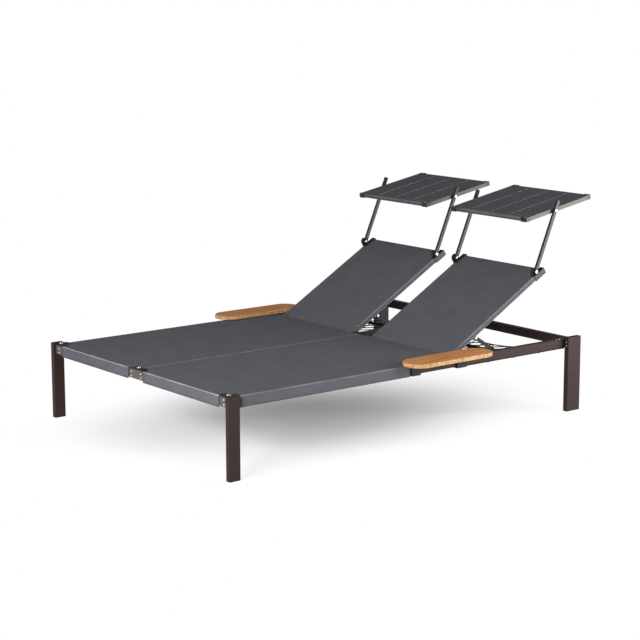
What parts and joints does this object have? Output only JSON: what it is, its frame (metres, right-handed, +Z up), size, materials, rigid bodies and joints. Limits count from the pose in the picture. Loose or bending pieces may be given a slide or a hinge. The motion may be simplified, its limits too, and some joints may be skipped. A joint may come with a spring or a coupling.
{
  "type": "double chaise lounger",
  "caption": "Low double bed frame with taut fabric seats, reclining backrests on toothed racks, a tilting canopy on arms over each, and sliding wooden side trays.",
  "frame": {"origin": "on the floor, under the middle of the bounding box", "axes": "+X across the bed, to the right when seen from the foot, +Y from the foot to the head, +Z up"},
  "size_m": [1.541, 2.1536, 0.9864],
  "materials": {
    "frame_bronze": "satin dark bronze powder coat",
    "arm_grey": "satin warm grey powder coat",
    "cap_black": "matte",
    "screw_steel": "bright",
    "seat_fabric": "woven dark grey outdoor mesh",
    "canopy_fabric": "woven charcoal outdoor cloth",
    "tray_wood": "oiled hardwood",
    "net_cord": "black elastic cord"
  },
  "bodies": {
    "frame": {"frame_caps": "cap_black", "centre_rails": "frame_bronze", "foot_rails": "frame_bronze", "head_rails": "frame_bronze", "centre_connector_foot": "frame_bronze", "centre_connector_head": "frame_bronze", "connector_screws": "screw_steel", "seat_rear_bars": "frame_bronze", "ratchet_racks": "frame_bronze", "hinge_brackets": "frame_bronze", "hinge_pins": "screw_steel", "net_hooks": "cap_black", "leg_foot_right": "frame_bronze", "leg_head_right": "frame_bronze", "glide_foot_right": "cap_black", "glide_head_right": "cap_black", "side_rail_right": "frame_bronze", "corner_connector_foot_right": "frame_bronze", "corner_connector_head_right": "frame_bronze", "seat_fabric_right": "seat_fabric", "storage_net_right": "net_cord", "leg_foot_left": "frame_bronze", "leg_head_left": "frame_bronze", "glide_foot_left": "cap_black", "glide_head_left": "cap_black", "side_rail_left": "frame_bronze", "corner_connector_foot_left": "frame_bronze", "corner_connector_head_left": "frame_bronze", "seat_fabric_left": "seat_fabric", "storage_net_left": "net_cord"},
    "backrest_right": {"backrest_fabric_right": "seat_fabric", "backrest_frame_right": "frame_bronze", "hinge_blocks_right": "cap_black", "corner_brackets_right": "arm_grey", "arm_bolts_right": "screw_steel", "prop_pivots_right": "screw_steel"},
    "prop_right": {"prop_right": "frame_bronze"},
    "arms_right": {"canopy_arms_right": "arm_grey"},
    "canopy_right": {"canopy_fabric_right": "canopy_fabric", "canopy_frame_right": "arm_grey", "canopy_corner_blocks_right": "arm_grey", "canopy_bolts_right": "screw_steel"},
    "tray_right": {"tray_board_right": "tray_wood", "tray_brackets_right": "cap_black"},
    "backrest_left": {"backrest_fabric_left": "seat_fabric", "backrest_frame_left": "frame_bronze", "hinge_blocks_left": "cap_black", "corner_brackets_left": "arm_grey", "arm_bolts_left": "screw_steel", "prop_pivots_left": "screw_steel"},
    "prop_left": {"prop_left": "frame_bronze"},
    "arms_left": {"canopy_arms_left": "arm_grey"},
    "canopy_left": {"canopy_fabric_left": "canopy_fabric", "canopy_frame_left": "arm_grey", "canopy_corner_blocks_left": "arm_grey", "canopy_bolts_left": "screw_steel"},
    "tray_left": {"tray_board_left": "tray_wood", "tray_brackets_left": "cap_black"}
  },
  "joints": [
    {"name": "backrest_recline_right", "type": "hinge", "parent": "frame", "child": "backrest_right", "pos_m": [0.341, 0.1944, 0.3332], "axis": [1, 0, 0], "range_deg": [-30, 35]},
    {"name": "prop_swing_right", "type": "hinge", "parent": "backrest_right", "child": "prop_right", "pos_m": [0.341, 0.34805, 0.39708], "axis": [1, 0, 0], "range_deg": [-72.8, 62.4]},
    {"name": "arms_swing_right", "type": "hinge", "parent": "backrest_right", "child": "arms_right", "pos_m": [0.341, 0.71316, 0.65869], "axis": [1, 0, 0], "range_deg": [-25, 45]},
    {"name": "canopy_tilt_right", "type": "hinge", "parent": "arms_right", "child": "canopy_right", "pos_m": [0.341, 0.83199, 0.93197], "axis": [1, 0, 0], "range_deg": [-35, 35]},
    {"name": "tray_slide_right", "type": "slide", "parent": "frame", "child": "tray_right", "axis": [0, 1, 0], "range_m": [0, 0.43]},
    {"name": "backrest_recline_left", "type": "hinge", "parent": "frame", "child": "backrest_left", "pos_m": [-0.341, 0.1944, 0.3332], "axis": [1, 0, 0], "range_deg": [-30, 35]},
    {"name": "prop_swing_left", "type": "hinge", "parent": "backrest_left", "child": "prop_left", "pos_m": [-0.341, 0.34805, 0.39708], "axis": [1, 0, 0], "range_deg": [-72.8, 62.4]},
    {"name": "arms_swing_left", "type": "hinge", "parent": "backrest_left", "child": "arms_left", "pos_m": [-0.341, 0.71316, 0.65869], "axis": [1, 0, 0], "range_deg": [-25, 45]},
    {"name": "canopy_tilt_left", "type": "hinge", "parent": "arms_left", "child": "canopy_left", "pos_m": [-0.341, 0.83199, 0.93197], "axis": [1, 0, 0], "range_deg": [-35, 35]},
    {"name": "tray_slide_left", "type": "slide", "parent": "frame", "child": "tray_left", "axis": [0, 1, 0], "range_m": [0, 0.43]}
  ],
  "couplings": [
    {"joint": "prop_swing_right", "follows": "backrest_recline_right", "ratio": -2.078},
    {"joint": "prop_swing_left", "follows": "backrest_recline_left", "ratio": -2.078}
  ]
}
